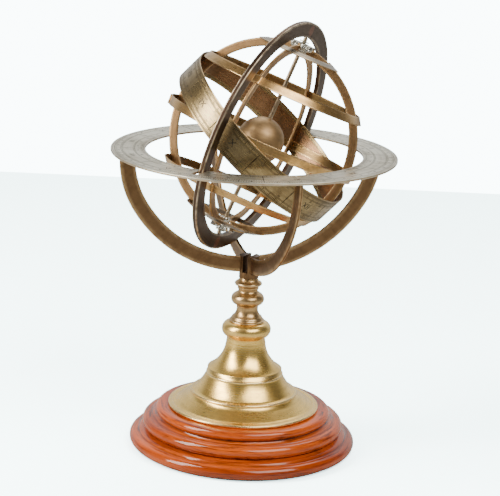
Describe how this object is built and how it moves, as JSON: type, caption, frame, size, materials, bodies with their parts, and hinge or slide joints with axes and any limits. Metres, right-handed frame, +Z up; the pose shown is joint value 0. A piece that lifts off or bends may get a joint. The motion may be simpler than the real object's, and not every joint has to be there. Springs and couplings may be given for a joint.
{
  "type": "armillary sphere",
  "caption": "Table-top armillary sphere: a cage of rings turning on a tilted axis inside a meridian ring, held by a horizon ring on a turned brass and wood stand.",
  "frame": {"origin": "centre of the base's underside, on the stand's axis", "axes": "+Z up; the two notches of the horizon ring lie on the Y axis; the meridian ring leans towards +X"},
  "size_m": [0.2, 0.2, 0.3087],
  "materials": {
    "base_felt": "short green felt",
    "turned_wood": "turned, orange-brown, high-gloss varnish",
    "plated_steel": "plain plated",
    "polished_brass": "polished, lacquered",
    "antique_brass": "antiqued tan-brown, satin",
    "engraved_silvered_brass": "silver-grey patina, engraved",
    "dark_bronze": "dark brown-bronze patina, worn edges",
    "copper_bush": "reddish copper alloy, plain",
    "rod_brass": "drawn rod, satin",
    "ball_brass": "turned, brushed, dull",
    "silver_solder": "silvered with solder",
    "colure_brass": "antiqued, satin",
    "grey_strip_brass": "grey patina",
    "strip_brass": "light brass, brushed along its length"
  },
  "bodies": {
    "stand": {"felt_pad": "base_felt", "wood_base": "turned_wood", "base_washer": "plated_steel", "base_nut": "plated_steel", "tie_rod": "plated_steel", "foot": "polished_brass", "column": "antique_brass", "cradle_head": "antique_brass", "cradle_arm_east": "antique_brass", "cradle_arm_north": "antique_brass", "cradle_arm_west": "antique_brass", "cradle_arm_south": "antique_brass", "horizon_ring": "engraved_silvered_brass"},
    "meridian": {"meridian_ring": "dark_bronze", "pole_bush_north": "copper_bush", "pole_bush_south": "copper_bush"},
    "axis": {"axis_rod": "rod_brass", "earth_ball": "ball_brass", "pole_washer_north": "silver_solder", "pole_washer_south": "silver_solder"},
    "sphere": {"pole_hub_north": "silver_solder", "pole_hub_south": "silver_solder", "colure_east": "colure_brass", "colure_north": "colure_brass", "colure_west": "colure_brass", "colure_south": "colure_brass", "polar_ring_north": "grey_strip_brass", "polar_ring_south": "grey_strip_brass", "tropic_north": "strip_brass", "tropic_south": "strip_brass", "equator_ring": "strip_brass", "zodiac_band": "engraved_silvered_brass", "zodiac_pins": "colure_brass"}
  },
  "joints": [
    {"name": "meridian_turn", "type": "hinge", "parent": "stand", "child": "meridian", "pos_m": [0.00348, 0.004, 0.22598], "axis": [0.9563, 0, -0.2924], "continuous": true},
    {"name": "earth_spin", "type": "hinge", "parent": "meridian", "child": "axis", "pos_m": [0.00348, 0.004, 0.22598], "axis": [0.2824, 0.2588, 0.9237], "continuous": true},
    {"name": "sphere_spin", "type": "hinge", "parent": "axis", "child": "sphere", "pos_m": [0.00348, 0.004, 0.22598], "axis": [0.2824, 0.2588, 0.9237], "continuous": true}
  ]
}
